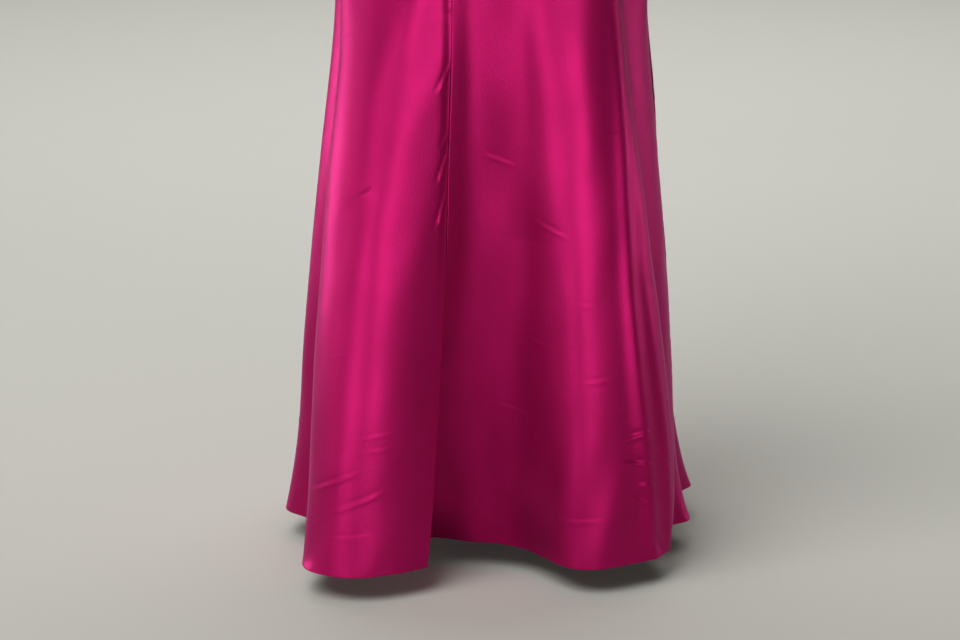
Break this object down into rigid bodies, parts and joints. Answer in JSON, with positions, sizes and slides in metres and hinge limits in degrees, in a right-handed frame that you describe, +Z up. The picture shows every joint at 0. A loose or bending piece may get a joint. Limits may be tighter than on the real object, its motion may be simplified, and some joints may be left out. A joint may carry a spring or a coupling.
{
  "type": "evening gown",
  "caption": "Floor-length satin evening gown with a fitted strapped bodice and a flared skirt slit at the front, in its worn shape.",
  "frame": {"origin": "middle of the shoulder line, level with the shoulders that the straps lie on", "axes": "+Z up, the gown faces -Y, +X is the wearer's left"},
  "size_m": [0.527, 0.5161, 1.5133],
  "materials": {
    "satin": "heavy fuchsia satin with a soft sheen",
    "zip_tape": "woven polyester tape dyed to match",
    "zip_metal": "enamel dyed to match"
  },
  "bodies": {
    "gown": {"bodice_front": "satin", "bodice_back_left": "satin", "bodice_back_right": "satin", "strap_left": "satin", "strap_right": "satin", "skirt_front_left": "satin", "skirt_front_right": "satin", "skirt_back_left": "satin", "skirt_back_right": "satin", "zip_tape_left": "zip_tape", "zip_tape_right": "zip_tape", "zip_slider": "zip_metal"},
    "pull": {"zip_pull": "zip_metal"}
  },
  "joints": [
    {"name": "pull_hinge", "type": "hinge", "parent": "gown", "child": "pull", "pos_m": [0, 0.10207, -0.26176], "axis": [1, 0, 0], "range_deg": [0, 165]}
  ]
}
